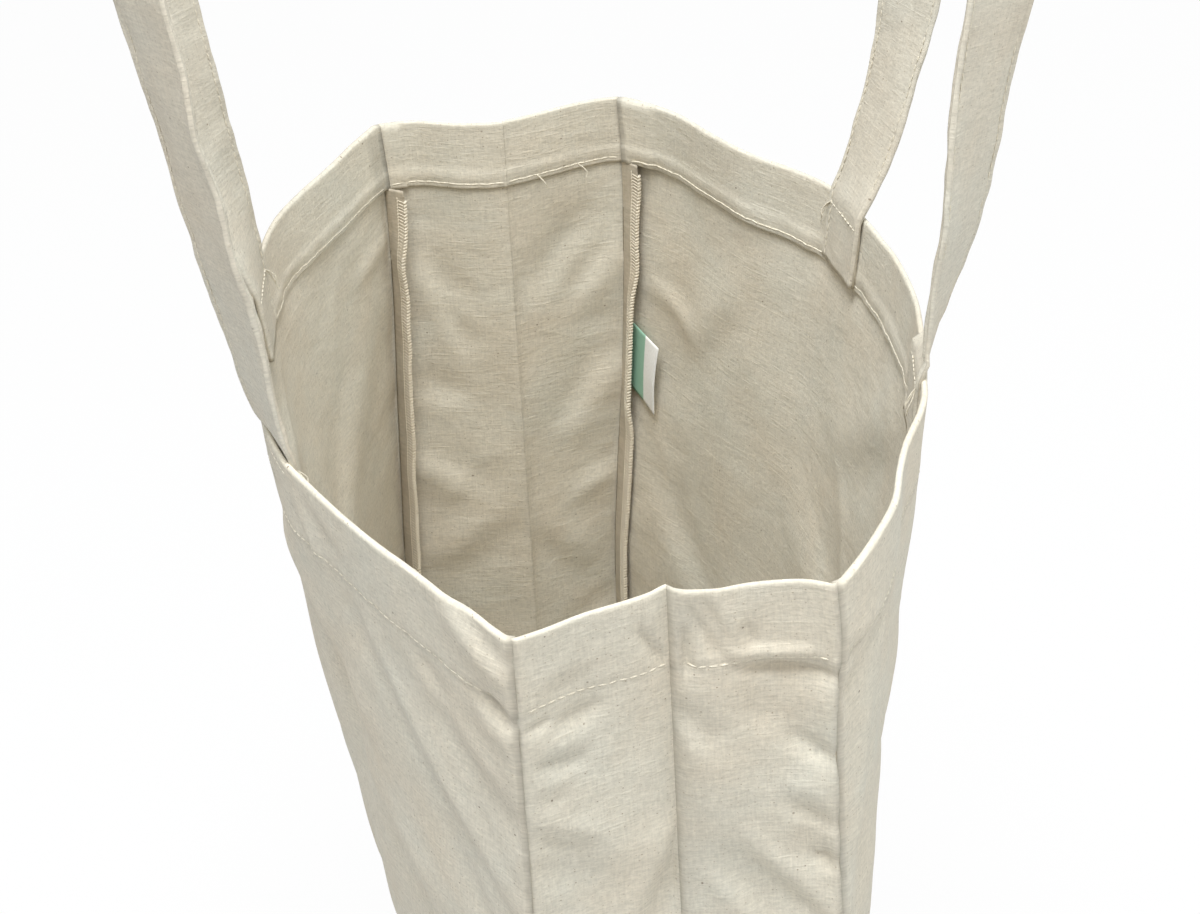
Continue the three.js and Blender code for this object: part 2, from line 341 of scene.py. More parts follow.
def wall_rumple(along, z, edge, seed, slack):
    """How far a wall stands inwards of its smooth shape: slow billows, soft dents and pressed
    creases, with short puckers square to the corner seams. edge is the distance to a seam, and
    slack how loosely the cloth hangs there."""
    warp_along = along + 0.014 * soft_noise(along / 0.07, z / 0.07, seed + 1.0)
    warp_up = z + 0.014 * soft_noise(along / 0.06, z / 0.08, seed + 2.0)
    billow = 0.0026 * soft_noise(warp_along / 0.13, warp_up / 0.17, seed)
    dent = 0.0024 * soft_noise(warp_along / 0.045, warp_up / 0.05, seed + 3.0)
    fold = abs(soft_noise(warp_along / 0.062, warp_up / 0.085, seed + 4.0))
    crease = 0.0020 * math.exp(-fold / 0.07) * max(0.0, 0.4 + soft_noise(along / 0.08, z / 0.08, seed + 7.0))
    fine = 0.00075 * soft_noise(warp_along / 0.017, warp_up / 0.020, seed + 8.0)
    inside = smoothstep(0.0, 0.018, edge)
    body = (billow + dent + crease + fine) * inside
    pucker = 0.0013 * soft_noise(along / 0.04, z / 0.0085, seed + 9.0) * math.exp(-edge / 0.011)
    pucker += 0.0016 * soft_noise(along / 0.05, z / 0.020, seed + 10.0) * math.exp(-edge / 0.018)
    pucker *= smoothstep(0.0, 0.003, edge)
    stiff = slack * (1.0 - 0.55 * smoothstep(0.375, 0.396, z))
    low = smoothstep(0.002, 0.035, z)
    return (body + pucker) * stiff * low


def through_stations(stations, at):
    """A smooth curve through (position, value) stations."""
    last = len(stations) - 1
    at = min(max(at, stations[0][0]), stations[last][0])
    i = max(j for j in range(last) if stations[j][0] <= at)
    (x0, y0), (x1, y1) = stations[i], stations[i + 1]
    before, after = stations[max(0, i - 1)], stations[min(last, i + 2)]
    slope0 = (y1 - before[1]) / (x1 - before[0])
    slope1 = (after[1] - y0) / (after[0] - x0)
    span = x1 - x0
    t = (at - x0) / span
    return (
        (2 * t ** 3 - 3 * t ** 2 + 1) * y0
        + (t ** 3 - 2 * t ** 2 + t) * span * slope0
        + (3 * t ** 2 - 2 * t ** 3) * y1
        + (t ** 3 - t ** 2) * span * slope1
    )


# How far each rim stands out between its seams, in mm, at shares of the half width
rim_plan = {
    -1: (
        (-1.0, 0.0), (-0.91, 9.9), (-0.81, 20.9), (-0.70, 33.6), (-0.595, 44.3), (-0.485, 51.0),
        (-0.31, 57.3), (-0.10, 60.0), (0.10, 60.2), (0.28, 58.2), (0.38, 55.2), (0.46, 50.4),
        (0.54, 44.8), (0.637, 37.0), (0.77, 25.2), (0.88, 15.0), (0.95, 6.6), (1.0, 0.0),
    ),
    1: (
        (-1.0, 0.0), (-0.95, 8.6), (-0.87, 18.6), (-0.76, 26.8), (-0.63, 38.5), (-0.52, 52.5),
        (-0.42, 61.8), (-0.25, 67.0), (-0.08, 69.3), (0.10, 67.6), (0.25, 62.6), (0.37, 57.2),
        (0.49, 49.8), (0.61, 38.6), (0.77, 27.4), (0.875, 16.9), (0.945, 7.9), (1.0, 0.0),
    ),
}


def mouth_bow(side, share, z):
    """How far a panel stands out of the flat between its seams, at a share of the half width:
    evenly bowed lower down, and the wavering line of the mouth at the rim."""
    height = z / bag_height
    even = 0.061 if side < 0 else 0.0675
    plan = even * (1.0 - share * share) * (1.0 - 0.07 * side * share)
    rim = through_stations(rim_plan[side], share) / 1000.0
    plan += (rim - plan) * smoothstep(0.35, 1.0, height)
    belly = 0.37 if side < 0 else 0.22
    return plan * height * (1.0 + belly * (1.0 - height))


# How far each corner seam stands off its place in the flat pattern, as (height, outwards,
# towards the back) in mm: the filled bag leans over a little, and the near left corner is pulled
corner_shift = {
    (-1, -1): ((0, 0, 0), (100, 0, -5), (165, 0, -7), (215, 0, -6.8), (255, 0, -5.1), (295, 0, -3.3),
               (340, 0, -1.0), (390, 0, 0), (420, 0, -1.6)),
    (-1, 1): ((0, 0, 0), (90, 0, -5), (150, 0, -7.4), (198, 0, -7.4), (239, 0, -4.8), (279, 0, -1.8),
              (313, 0, 0.4), (351, 0, 2.0), (390, 0, 2.8), (420, 0, 1.6)),
    (1, -1): ((0, 0, 0), (150, 0, 0), (280, 0, 0), (350, 2.0, 0), (392, 3.7, 0), (420, 4.6, 0)),
    (1, 1): ((0, 0, 0), (120, 0, 0.8), (300, 0, 0.8), (345, 0, 0.2), (375, 0, 0), (400, 0, 1.2), (420, 0, 0)),
}


def measured_shift(end, side, z):
    """A corner seam's shift at a height: (outwards, towards the back), in metres."""
    stations = corner_shift[(end, side)]
    outwards = through_stations([(height / 1000.0, shift) for height, shift, _ in stations], z)
    backwards = through_stations([(height / 1000.0, shift) for height, _, shift in stations], z)
    return outwards / 1000.0, backwards / 1000.0


shift_steps = 420
shift_tables = {
    corner: [measured_shift(*corner, bag_height * i / shift_steps) for i in range(shift_steps + 1)]
    for corner in corner_shift
}


def seam_shift(end, side, z):
    """The same, looked up at the nearest step of height."""
    return shift_tables[(end, side)][round(min(max(z / bag_height, 0.0), 1.0) * shift_steps)]


# Folds that the panels carry, each from (along, height) to (along, height), in mm
panel_folds = {
    -1: (
        (118, 376, 130, 361, 4.5, 0.5, 1.3), (130, 361, 186, 312, 5.0, 0.5, 1.7),
        (155, 374, 189, 354, 5.0, 0.8, 1.2), (168, 418, 189, 406, 4.0, -0.6, -1.5),
        (178, 394, 190, 389, 3.0, 1.6, 0.0), (176, 386, 190, 382, 5.5, -1.2, 0.0),
        (90, 412, 108, 403, 3.0, 0.7, 0.6), (77, 407, 90, 388, 3.0, 0.5, 0.8),
        (90, 356, 80, 292, 9.0, 1.2, 1.2), (112, 386, 114, 366, 5.0, 0.7, 0.8),
        (150, 389, 158, 379, 3.5, 0.8, -0.6), (108, 296, 140, 272, 8.0, 1.0, 1.6),
        (150, 330, 186, 290, 6.0, 0.8, 1.2), (40, 380, 95, 330, 9.0, 0.9, 1.5),
        (-60, 360, 10, 300, 12.0, 1.4, 1.6), (-150, 330, -90, 260, 11.0, 1.4, 1.5),
        (-186, 372, -160, 366, 5.0, 1.3, 0.4), (-30, 250, 60, 190, 14.0, 1.8, 1.6),
        (90, 230, 150, 150, 12.0, 1.4, 1.5), (-140, 180, -60, 90, 13.0, 1.5, 1.8),
    ),
    1: (
        (146, 386, 186, 394, 3.5, 0.5, 0.9), (146, 386, 160, 374, 4.0, 0.5, 0.8),
        (170, 370, 183, 300, 4.0, 0.4, 1.0), (178, 384, 190, 380, 4.0, 1.4, 0.0),
        (95, 350, 60, 300, 12.0, 1.6, 1.2), (20, 370, -40, 330, 11.0, 1.3, 1.4),
        (-120, 360, -150, 320, 8.0, 1.2, 1.0), (-178, 340, -150, 330, 5.0, 1.2, 0.6),
        (-60, 290, 10, 230, 13.0, 1.8, 1.6), (90, 240, 140, 170, 12.0, 1.5, 1.5),
        (-170, 240, -120, 190, 10.0, 1.4, 1.2), (-90, 160, 0, 90, 14.0, 1.8, 1.6),
        (60, 130, 150, 80, 12.0, 1.5, 1.4),
    ),
}


def panel_point(side, share, z, depth):
    """A point of the front (side -1) or back (side 1) panel at a depth inside its outer face."""
    half = seam_x(z) - 1.2 * max(0.0, depth - outer_layer)
    step = 0.002
    y = base_half_depth + mouth_bow(side, share, z)
    slope = (mouth_bow(side, share + step, z) - mouth_bow(side, share - step, z)) / (2 * step * half)
    edge = (1.0 - abs(share)) * half
    curl = rolled_edge(edge / 0.0019)
    along = share * base_half_length
    seed = 11.0 if side < 0 else 29.0
    slack = 0.50 + 0.50 * (smoothstep(-0.03, 0.09, along) if side < 0 else smoothstep(0.09, 0.15, along))
    sewn_strap = smoothstep(0.028, 0.043, abs(along)) * smoothstep(0.088, 0.074, abs(along))
    sewn_strap *= smoothstep(0.380, 0.392, z)
    slack *= 1.0 - 0.9 * sewn_strap
    inwards = depth + curl + wall_rumple(along, z, edge, seed, slack)
    folds = pressed_folds(panel_folds[side], along, z) * smoothstep(-0.002, 0.003, edge)
    inwards += folds * (0.3 + 0.7 * slack)
    if side < 0 and depth > between_layers:
        inwards -= 0.0003 * smoothstep(0.4020, 0.3925, z)
    inwards += stitch_pinch(along, z, depth, seed) * smoothstep(0.0, 0.004, edge)
    if depth > between_layers and side > 0 and share < 0.0:
        band = smoothstep(0.0003, 0.0011, edge) * (1.0 - smoothstep(0.0100, 0.0112, edge))
        inwards += 0.0010 * band * below_rim(z)
    normal = Vector((-slope, 1.0)).normalized()
    end = -1 if share < 0.0 else 1
    outwards, backwards = seam_shift(end, side, z)
    outwards *= 1.0 - smoothstep(0.0, 0.030, edge)
    backwards *= 1.0 - smoothstep(0.0, 0.100, edge)
    return Vector((
        share * half - normal.x * inwards + end * outwards,
        side * (y - normal.y * inwards) + backwards,
        z,
    ))


def panel_shares():
    """Stations across a panel, closer together beside the seams."""
    fine = [0.0, 0.0006, 0.0012, 0.0019, 0.0028, 0.0042, 0.0060, 0.0082]
    shares = [1.0 - distance / base_half_length for distance in fine]
    shares += [shares[-1] * (1.0 - i / 84) for i in range(1, 85)]
    return [-share for share in shares] + shares[-2::-1]


run = cloth_run()
shares = panel_shares()
for wall, side in walls:
    bm = cloth_grid(len(shares) - 1, len(run) - 1)
    painted_shade = bm.verts.layers.float.new("painted_shade")
    flat_place = {}
    for vertex in bm.verts:
        share = shares[round(share_of(vertex.co.x) * (len(shares) - 1))]
        z, depth, length = run[round(share_of(vertex.co.y) * (len(run) - 1))]
        flat_place[vertex.index] = (share * base_half_length + 0.7 * side, length)
        edge = (1.0 - abs(share)) * seam_x(z)
        # Painted shade: darker along the corner seam, below the stitch row outside, and on the inner hem
        # layer beside the front panel's left seam, where the allowance lies under it
        vertex[painted_shade] = 0.8 * math.exp(-((edge / 0.0007) ** 2))
        if depth < between_layers:
            vertex[painted_shade] += stitch_shade(z)
        elif share < 0.0 and side < 0:
            vertex[painted_shade] += 0.55 * smoothstep(0.0085, 0.0070, edge) * smoothstep(0.4195, 0.4150, z)
        vertex.co = panel_point(side, share, z, depth)
    lay_out(bm, lambda vertex: flat_place[vertex.index])
    if side > 0:
        bmesh.ops.reverse_faces(bm, faces=bm.faces)
    panel = cloth_piece(f"{wall}_panel_cloth", bm, cloth_thickness, bag_cotton)
    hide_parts(f"{wall}_panel")
    if side > 0:
        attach(panel, "back_side")
    else:
        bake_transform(panel)


# Side gussets: each a 100 mm strip of the same cotton between the corner seams, pressed with
# one sharp crease down its middle so that the bag folds flat, and hemmed with the panels.
# Each is made as its two halves, because the crease is a fold line that moves.
flat_half_gusset = 0.050
draw_angle = math.asin(crease_inset / flat_half_gusset)
seam_pivot_depth = 0.00225
seam_pivot_y = base_half_depth - seam_pivot_depth
half_gusset = 0.047126
fold_axis_x = 0.18
seam_tuck = 0.0012

# How far each half stands out of straight at the rim, in mm, at distances from its seam
gusset_bow = {
    (1, -1): (
        (-2, 0), (0, 0.1), (10, 0.2), (17, -0.2), (23, 0), (29, 0.5), (35, 0.7), (41.5, 0.7), (45, 0.3),
        (48, 0),
    ),
    (1, 1): (
        (-2, 0), (0, 0), (2, -0.8), (7, -2.5), (14, -3.0), (23, -1.9), (32, 0.8), (40.7, 1.2),
        (45.2, 0.6), (48, 0),
    ),
    (-1, -1): (
        (-2, 0), (0, 0), (6, 1.7), (14, 2.6), (24, 0.6), (33, -0.6), (41, -0.5), (48, 0),
    ),
    (-1, 1): (
        (-2, 0), (0, 0), (7, 1.8), (16, 2.4), (27, 1.4), (36, 0.4), (43, 0), (48, 0),
    ),
}

# Folds of each half, from (distance from the seam, height) to the same, in mm
gusset_folds = {
    (1, -1): (
        (37.5, 410, 44.5, 396, 1.6, 1.3, 0.7), (4, 373.5, 18, 371.5, 2.6, 1.7, 0.3),
        (2, 362, 12, 360.5, 1.8, 0.8, 0.2), (2, 349, 19, 339, 3.0, 1.3, 1.2),
        (6, 335, 20, 326, 7.0, 1.6, 0.6), (49, 334, 34, 302, 5.0, 0.7, -1.7),
        (10, 384, 24, 386, 3.2, 1.3, -0.5), (8, 398, 20, 400, 4.0, 1.0, 0.5),
        (1, 387, 9, 388.5, 1.8, 0.9, 0.0), (3, 300, 30, 286, 7.0, 1.4, 1.4),
        (2, 262, 26, 270, 6.0, 1.6, 1.0), (40, 250, 10, 210, 8.0, 1.4, 1.6),
        (3, 180, 30, 165, 7.0, 1.4, 1.2), (2, 120, 20, 112, 6.0, 1.4, 1.0),
    ),
    (1, 1): (
        (43.8, 408, 43.6, 391, 1.1, 1.0, 0.8), (40.6, 406, 41.2, 393, 1.1, 0.7, -0.6),
        (41, 414.5, 32, 396.5, 1.9, 0.9, -0.9), (36, 416, 30, 401, 2.0, 0.8, -0.8),
        (26, 406, 24, 398, 2.0, 0.8, 0.5), (27, 391.5, 0, 388.5, 2.4, 2.0, -0.5),
        (28, 397, 6, 395.5, 2.2, -1.2, 0.0), (14, 365, 0, 357.5, 3.2, 2.2, 0.6),
        (26, 374, 1, 366, 4.5, 0.7, 0.6), (14, 341, 0, 334, 2.4, 1.3, 0.3),
        (7, 321.5, 0, 319, 2.6, 1.7, 0.4), (30, 327, 3, 296, 3.6, 1.0, -1.8),
        (35, 318, 19, 294, 3.4, 0.6, 1.5), (45, 378, 35, 365, 4.5, 1.2, 0.5),
        (12, 349, 2, 346, 3.5, -0.9, 0.0), (2, 285, 24, 276, 5.0, 1.5, 1.0),
        (44, 262, 16, 232, 7.0, 1.2, 1.8), (2, 206, 24, 198, 5.0, 1.5, 0.8),
        (42, 170, 14, 130, 8.0, 1.3, 1.6), (2, 100, 20, 92, 5.0, 1.3, 0.8),
    ),
    (-1, -1): (
        (14, 350, 26, 316, 5.0, -1.0, 1.6), (8, 356, 30, 330, 6.0, 1.0, 1.2),
        (6, 300, 26, 292, 6.0, -1.3, 0.6), (4, 262, 26, 246, 6.0, 1.4, 1.3),
        (40, 236, 12, 206, 8.0, 1.3, 1.6), (3, 176, 24, 160, 6.0, 1.3, 1.2),
    ),
    (-1, 1): (
        (2, 352, 20, 330, 6.0, 1.3, 1.6), (16, 366, 38, 340, 7.0, -1.1, 1.4),
        (2, 300, 26, 268, 8.0, 1.4, 1.6), (3, 244, 24, 236, 5.0, 1.4, 1.0),
        (42, 226, 14, 196, 8.0, 1.2, 1.5), (3, 170, 22, 160, 6.0, 1.3, 1.2),
    ),
}


def gusset_point(end, side, u, z, depth):
    """A point of a gusset half: end -1 left or 1 right, side -1 front or 1 back, u metres from
    the corner seam towards the crease, at a depth inside the outer face."""
    x = seam_x(z) - seam_pivot_depth
    along = Vector((-math.sin(draw_angle), -math.cos(draw_angle)))
    outward = Vector((math.cos(draw_angle), -math.sin(draw_angle)))
    to_crease = half_gusset - u
    curl = rolled_edge((u + seam_tuck) / 0.0020)
    crease_round = 0.25 * (math.sqrt(to_crease ** 2 + 0.0008 ** 2) - to_crease)
    seed = 41.0 + 13.0 * end + 5.0 * side
    edge = max(0.0, u)
    flat = u if side > 0 else 2.0 * half_gusset - u
    near_crease = smoothstep(0.0, 0.006, to_crease)
    bow = through_stations(gusset_bow[(end, side)], u * 1000.0) / 1000.0
    bow *= smoothstep(0.20, 0.42, z)
    if side > 0:
        shoulder = 0.0024 if end > 0 else 0.0011
        shoulder *= (1.0 - math.exp(-to_crease / 0.0016)) * math.exp(-to_crease / 0.018)
        bow += shoulder * smoothstep(0.0, 0.08, z)
    inwards = depth + curl - crease_round - bow
    slack = 1.0 if end > 0 else 0.45
    inwards += wall_rumple(flat, z, edge, seed, slack) * near_crease
    folds = pressed_folds(gusset_folds[(end, side)], u, z) * smoothstep(0.0, 0.002, to_crease)
    inwards += folds * (0.3 + 0.7 * slack)
    inwards += stitch_pinch(flat, z, depth, seed) * smoothstep(0.0, 0.004, edge) * (0.3 + 0.7 * near_crease)
    if depth > between_layers and (end, side) != (-1, 1):
        band = smoothstep(0.0003, 0.0011, u) * (1.0 - smoothstep(0.0072, 0.0080, u))
        inwards += 0.0009 * band * below_rim(z)
    closing = math.tan(draw_angle) * inwards * smoothstep(0.012, 0.0, to_crease)
    place = Vector((x, seam_pivot_y)) + along * (u + closing) + outward * (seam_pivot_depth - inwards)
    place.y = max(0.0, place.y)
    outwards, backwards = seam_shift(end, side, z)
    from_crease = min(1.0, to_crease / half_gusset)
    foot = 0.0009 * smoothstep(0.010, 0.0, z)
    return Vector((
        end * (place.x + outwards * from_crease),
        side * place.y + backwards * from_crease,
        z + foot,
    ))


# Stations from the corner seam to the crease, closer together at both
stations = [-seam_tuck, -0.0008, -0.0003, 0.0003, 0.0011, 0.0020, 0.0032, 0.0046, 0.0060, 0.0072, 0.0080]
stations += [0.0092 + (0.0432 - 0.0092) * i / 25 for i in range(26)]
stations += [0.0445, 0.0455, 0.0462, 0.0466, 0.0469, half_gusset]


def turn_at_folds(piece, side):
    """Bakes a half's transform into its mesh, the same way for either side."""
    if side > 0:
        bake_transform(piece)
    else:
        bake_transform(piece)


for end_name, end in ends:
    for wall, side in walls:
        bm = cloth_grid(len(stations) - 1, len(run) - 1)
        painted_shade = bm.verts.layers.float.new("painted_shade")
        flat_place = {}
        for vertex in bm.verts:
            u = stations[round(share_of(vertex.co.x) * (len(stations) - 1))]
            z, depth, length = run[round(share_of(vertex.co.y) * (len(run) - 1))]
            flat_place[vertex.index] = (side * (half_gusset - u) + 2.1 * end, length)
            to_crease = half_gusset - u
            # Painted shade: darker along the corner seam; along the crease a wide band on the back half and a
            # narrow line on the front half, both far fainter on the left gusset; and below the stitch row
            # outside
            vertex[painted_shade] = 0.8 * math.exp(-(((u + seam_tuck) / 0.0009) ** 2))
            pressed = 1.0 if end > 0 else 0.18
            if side > 0:
                dark_line = 0.50 * math.exp(-to_crease / 0.0010) + 0.36 * math.exp(-to_crease / 0.0060)
                vertex[painted_shade] += pressed * dark_line
            else:
                vertex[painted_shade] += pressed * 0.25 * math.exp(-to_crease / 0.0006)
            if depth < between_layers:
                vertex[painted_shade] += stitch_shade(z)
            vertex.co = gusset_point(end, side, u, z, depth)
        lay_out(bm, lambda vertex: flat_place[vertex.index])
        if end * side > 0:
            bmesh.ops.reverse_faces(bm, faces=bm.faces)
        name = f"{end_name}_gusset_{wall}_cloth"
        half = cloth_piece(name, bm, cloth_thickness, bag_cotton)
        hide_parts(f"{end_name}_gusset_{wall}_half")
        turn_at_folds(half, side)


# Hem stitching: one row of cream cotton lockstitch round the mouth, through both layers of the
# hem just above its lower edge. Small separate stitches show outside, and a fuller chain
# inside, where a few ends were left long.
stitch_length = 0.0031


def two_tones(nodes, share, low, low_colour, high, high_colour):
    """The output of a ramp from one colour to another."""
    ramp = nodes.new("ShaderNodeValToRGB")
    low_stop, high_stop = ramp.color_ramp.elements
    low_stop.position, low_stop.color = low, (*low_colour, 1.0)
    high_stop.position, high_stop.color = high, (*high_colour, 1.0)
    return set_inputs(ramp, {"Fac": share}).outputs["Color"]


def thread_material(name, colour, dark):
    """Spun cotton thread: fine slanting strands with a soft, slightly fuzzy face."""
    material = bpy.data.materials.new(name)
    material.use_nodes = True
    nodes = material.node_tree.nodes
    place = nodes.new("ShaderNodeTexCoord").outputs["Object"]
    strands = noise_texture(nodes, place, (700.0, 2600.0, 2600.0), 2.0, turn=(0.4, 0.7, 0.6))
    bump = bump_node(nodes, 0.4, 0.0002, strands)
    set_inputs(nodes["Principled BSDF"], {
        "Base Color": two_tones(nodes, strands, 0.35, dark, 0.62, colour),
        "Roughness": 0.8,
        "Specular IOR Level": 0.25,
        "Sheen Weight": 0.15,
        "Normal": bump.outputs["Normal"],
    })
    return material


cream_thread = thread_material("cream_thread", colour=(0.80, 0.74, 0.61), dark=(0.66, 0.60, 0.47))


def stitch(start, end, face_out, width, height):
    """The place of one bead of thread from start to end, its height along face_out."""
    along = (end - start).normalized()
    across = face_out.cross(along).normalized()
    out = along.cross(across)
    reach = (end - start).length / 2
    centre = (start + end) / 2
    return Matrix((
        (across.x * width, out.x * height, along.x * reach, centre.x),
        (across.y * width, out.y * height, along.y * reach, centre.y),
        (across.z * width, out.z * height, along.z * reach, centre.z),
        (0.0, 0.0, 0.0, 1.0),
    ))


bm = bmesh.new()
bmesh.ops.create_uvsphere(bm, u_segments=6, v_segments=5, radius=1.0)
thread_bead = bpy.data.meshes.new("thread_bead")
bm.to_mesh(thread_bead)
bm.free()


def sew(stitches, material_index=0):
    """One small rounded bead of thread at each place, doubled up from a single bead."""
    bm = bmesh.new()
    bm.from_mesh(thread_bead)
    for face in bm.faces:
        face.material_index = material_index
    bead = [vertex.co.copy() for vertex in bm.verts]
    edges_each, faces_each = len(bm.edges), len(bm.faces)
    made = 1
    while made < len(stitches):
        more = min(made, len(stitches) - made)
        bm.verts.ensure_lookup_table()
        bm.edges.ensure_lookup_table()
        bm.faces.ensure_lookup_table()
        corners = bm.verts[:more * len(bead)]
        bmesh.ops.duplicate(bm, geom=corners + bm.edges[:more * edges_each] + bm.faces[:more * faces_each])
        made += more
    bm.verts.ensure_lookup_table()
    for i, place in enumerate(stitches):
        for j, corner in enumerate(bead):
            bm.verts[i * len(bead) + j].co = place @ corner
    return bm


def loose_end(start, reach, droop, seed):
    """A thread end that leaves a seam, curls over and hangs."""
    points = []
    for step in range(11):
        t = step / 10
        sway = Vector((soft_noise(t * 2.5, 0.0, seed), soft_noise(t * 2.5, 1.0, seed), 0.0)) * 0.0014 * t
        points.append(start + reach * math.sin(2.0 * t) + droop * t * t + sway)
    beads = []
    for first, second in zip(points, points[1:]):
        overlap = (second - first) * 0.3
        face_out = Vector((0.31, 0.77, 0.2)).normalized()
        beads.append(stitch(first - overlap, second + overlap, face_out, 0.00020, 0.00020))
    return beads


def hem_stitches(surface, start, end, seed, chain):
    """Stitches outside and inside along the hem. surface(across, height, depth) is a wall's own
    shape, start to end its stretch in metres, and chain how thick the thread inside is."""
    count = round((end - start) / stitch_length)
    beads = []
    for i in range(count):
        low = start + (end - start) * (i + 0.08) / count
        high = start + (end - start) * (i + 0.92) / count
        rise = 0.00012 * soft_noise(i * 0.9, 0.0, seed)
        for depth, width, height in ((0.00000, 0.00031, 0.00032), (0.00230, chain, chain * 0.8)):
            slip = rise + (0.00010 if i % 2 else -0.00010)
            first = surface(low, stitch_height + slip, depth)
            second = surface(high, stitch_height - slip, depth)
            beside = surface((low + high) / 2, stitch_height, depth - 0.001)
            outwards = (beside - (first + second) / 2).normalized()
            if depth > 0.001:
                overlap = (second - first) * 0.16
                first, second = first - overlap, second + overlap
            beads.append(stitch(first, second, outwards, width, height))
    return beads


for wall, side in walls:
    beads = hem_stitches(
        lambda across, z, depth: panel_point(side, across / base_half_length, z, depth),
        -base_half_length + 0.0030,
        base_half_length - 0.0030,
        71.0 + side,
        0.00018 if side < 0 else 0.00033,
    )
    hem_row = cloth_piece(f"{wall}_hem_stitching", sew(beads), None, cream_thread)
    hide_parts(f"{wall}_hem_thread")
    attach(hem_row, f"{wall}_side")
    for end_name, end in ends:
        beads = hem_stitches(
            lambda across, z, depth: gusset_point(end, side, across, z, depth),
            0.0020,
            half_gusset - 0.0012,
            75.0 + side + 3 * end,
            0.00036,
        )
        if end < 0 and side > 0:
            for across, seed in ((0.0175, 3.0), (0.0350, 5.0)):
                start = gusset_point(end, side, across, stitch_height, 0.0026)
                reach = Vector((0.0034, 0.0030, -0.0010))
                beads += loose_end(start, reach, Vector((0.0, 0.0, -0.0040)), seed)
        name = f"{end_name}_gusset_{wall}_stitching"
        gusset_row = cloth_piece(name, sew(beads), None, cream_thread)
        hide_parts(f"{end_name}_gusset_{wall}_hem_thread")
        turn_at_folds(gusset_row, side)


# Corner seams: where a gusset meets a panel, both edges stand inside as one 8 mm allowance of
# two plies, trimmed and overlocked with cream thread. It stands into the bag from the corner, a
# little wavy, from the base up to the hem, whose inner layer covers its upper end.
allowance = 0.008
allowance_root = 0.0008
allowance_low, allowance_high = 0.0026, 0.3912
ply = 0.0013
thread_start = 0.0035
thread_inset = 0.0034

# The allowance cotton is a darker, browner copy of the bag's cotton: painted shade for a strip that stands in
# shadow beside the corner seam
shaded_allowance_cotton = cotton_cloth(
    "shaded_allowance_cotton",
    colour=(0.50, 0.435, 0.33),
    warm=(0.51, 0.425, 0.315),
    cool=(0.495, 0.445, 0.35),
    fleck_amount=0.6,
)
overlock_thread = thread_material("overlock_thread", colour=(0.82, 0.75, 0.61), dark=(0.68, 0.60, 0.46))


def overlock_stitches(edge_point, face_point, spacing, count, thick, seed):
    """Overlocking: loops wrap the raw edge, tied by legs to a chain along both faces.
    edge_point(s, proud) is a point at the edge, face_point(s, proud) one further in, each at a
    length s along the seam and proud of the middle of the plies."""
    def edge_line(s):
        return edge_point(s, 0.0), (edge_point(s, 0.001) - edge_point(s, 0.0)).normalized()

    def face_line(s):
        return face_point(s, 0.0), (face_point(s, 0.001) - face_point(s, 0.0)).normalized()

    beads = []
    for i in range(count):
        s = i * spacing
        jitter = 0.0003 * soft_noise(i * 0.7, 0.0, seed)
        edge, through = edge_line(s + jitter)
        further, _ = edge_line(s + spacing)
        along = (further - edge).normalized()
        across = through.cross(along).normalized()
        half = thick / 2 + 0.0004
        tilt = along * spacing * 0.22
        low = edge - through * half - tilt
        high = edge + through * half + tilt
        beads.append(stitch(low, high, across, 0.00075, 0.00058))
        for face in (1.0, -1.0):
            inner, inner_through = face_line(s + spacing * 0.5 + jitter)
            beyond, beyond_through = face_line(s + spacing * 1.5)
            out = inner_through * face
            lift = thick / 2 + 0.00006
            foot = inner + out * lift
            beads.append(stitch(edge + through * (face * lift), foot, out, 0.00024, 0.00022))
            beads.append(stitch(foot, beyond + beyond_through * (face * lift), out, 0.00028, 0.00024))
    return beads


def overlocked_piece(name, bm, beads):
    """A seam allowance together with its overlocking."""
    threads = bpy.data.meshes.new("threads")
    sewn = sew(beads, material_index=1)
    sewn.to_mesh(threads)
    sewn.free()
    bm.from_mesh(threads)
    piece = cloth_piece(name, bm, None, shaded_allowance_cotton)
    piece.data.materials.append(overlock_thread)
    return piece


# Each corner allowance's turn from straight inwards, in degrees towards the back, low down and
# just below the hem
allowance_turn = {
    (-1, -1): (30.0, 52.0), (-1, 1): (25.0, 34.0), (1, -1): (32.0, 20.0), (1, 1): (-32.0, -20.0),
}


def allowance_point(end, side, u, z, proud):
    """A point of a corner allowance, u metres in from the seam line, proud of its middle."""
    seed = 91.0 + 2.0 * end + side
    outwards, backwards = seam_shift(end, side, z)
    low_turn, high_turn = allowance_turn[(end, side)]
    turn = low_turn + (high_turn - low_turn) * smoothstep(0.355, 0.3900, z)
    wave = 11.0 * soft_noise(z / 0.050, 0.0, seed) + 8.0 * soft_noise(z / 0.017, 1.0, seed)
    if (end, side) == (-1, 1):
        # It gives way to the label, and low down to the panel, which is flat there
        beside_label = smoothstep(0.258, 0.280, z) * smoothstep(0.348, 0.324, z)
        low = smoothstep(0.13, 0.02, z)
        wave *= (1.0 - beside_label) * (1.0 - 0.8 * low)
        turn -= 18.0 * beside_label
    turn += wave * smoothstep(0.0, 0.02, 0.3917 - z) * min(1.0, max(0.0, u) / 0.004)
    if (end, side) == (-1, 1):
        turn = min(turn, -8.0 + 125.0 * z)
    turn = math.radians(turn)
    inwards = Vector((-end * math.cos(turn), math.sin(turn), 0.0))
    across = Vector((-inwards.y, inwards.x, 0.0))
    stray = 1.0 + 0.07 * soft_noise(z / 0.022, 2.0, seed)
    corner = Vector((
        end * (seam_x(z) - 0.0021 + outwards),
        side * (seam_pivot_y + 0.0004) + backwards,
        z,
    ))
    return corner + inwards * (u * stray) + across * proud


